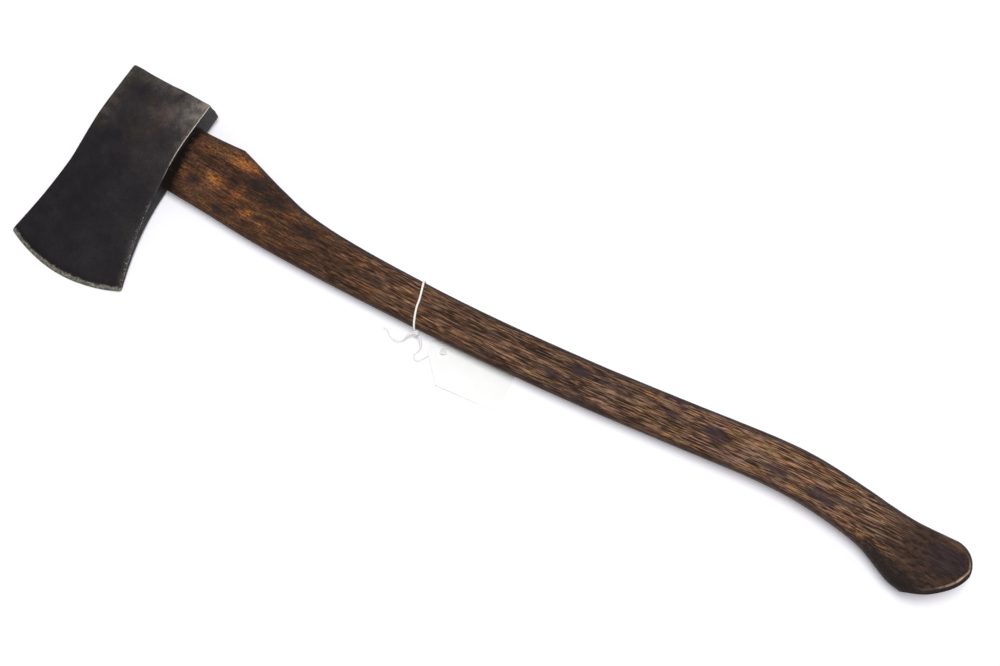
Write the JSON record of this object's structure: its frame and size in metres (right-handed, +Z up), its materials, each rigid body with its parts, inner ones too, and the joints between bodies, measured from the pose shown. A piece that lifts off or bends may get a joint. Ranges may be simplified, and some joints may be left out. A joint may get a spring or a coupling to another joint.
{
  "type": "single-bit felling axe with a price tag",
  "caption": "Full-size felling axe lying on its side: forged head wedged on a curved wooden handle, with a blank card tag on a string tied round the handle.",
  "frame": {"origin": "centre of the bounding box's footprint, on the bench that the axe lies on", "axes": "+X along the handle from the head to the knob, +Y from the cutting edge to the poll, +Z up from the bench, with the axe at rest on its lower cheek, its edge and its knob"},
  "size_m": [0.851, 0.1938, 0.0329],
  "materials": {
    "head_steel": "dark forge patina, satin, worn bright along the lower edge and ground pale along the bit",
    "handle_wood": "old dark brown hickory with short open grain, worn orange in places, satin",
    "wedge_wood": "end grain, matte",
    "wedge_steel": "dull hammered steel",
    "string": "twisted white cotton",
    "card": "uncoated white card, blank"
  },
  "bodies": {
    "root": {"axe_head": "head_steel", "handle": "handle_wood", "kerf_wedge": "wedge_wood", "steel_wedge": "wedge_steel", "string_loop": "string", "string_knot": "string", "string_tail": "string", "tag_string": "string", "tag_knot": "string", "price_tag": "card"}
  },
  "joints": []
}
